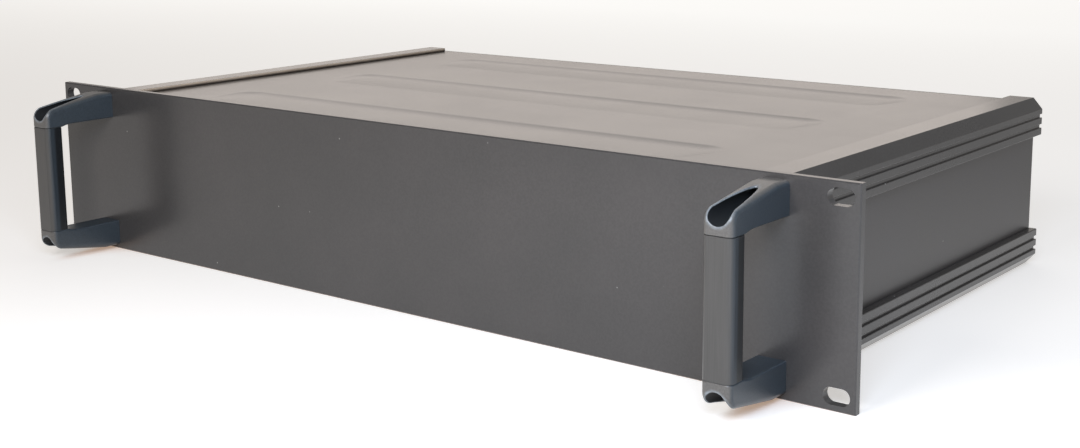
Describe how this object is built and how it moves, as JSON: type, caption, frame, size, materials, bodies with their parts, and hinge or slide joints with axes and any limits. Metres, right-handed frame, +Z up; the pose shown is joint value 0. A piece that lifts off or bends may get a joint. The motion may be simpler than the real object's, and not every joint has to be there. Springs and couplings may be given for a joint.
{
  "type": "rack mount case",
  "caption": "Low rack mount case: a slotted front plate with bow handles, extruded corner rails with a chamfered edge, covers with long pressings, side and rear panels.",
  "frame": {"origin": "middle of the rectangle of rack slots, on the back face of the front panel, which bears on the rack", "axes": "+X across the front panel, to the right for someone in front of it; +Y into the rack; +Z up"},
  "size_m": [0.4826, 0.3052, 0.0882],
  "materials": {
    "front_plate": "satin grey paint",
    "cover_sheet": "satin grey paint",
    "rail_extrusion": "satin grey paint",
    "handle_end": "satin, slightly blue",
    "handle_grip": "satin grey paint",
    "fasteners": "zinc plated"
  },
  "bodies": {
    "root": {"front_panel": "front_plate", "top_cover": "cover_sheet", "bottom_cover": "cover_sheet", "left_side_panel": "cover_sheet", "right_side_panel": "cover_sheet", "rear_panel": "cover_sheet", "top_left_rail": "rail_extrusion", "top_right_rail": "rail_extrusion", "bottom_left_rail": "rail_extrusion", "bottom_right_rail": "rail_extrusion", "left_handle_upper_end": "handle_end", "left_handle_lower_end": "handle_end", "right_handle_upper_end": "handle_end", "right_handle_lower_end": "handle_end", "left_handle_grip": "handle_grip", "right_handle_grip": "handle_grip", "left_handle_screws": "fasteners", "right_handle_screws": "fasteners", "left_handle_washers": "fasteners", "right_handle_washers": "fasteners", "rear_panel_screws": "fasteners"}
  },
  "joints": []
}
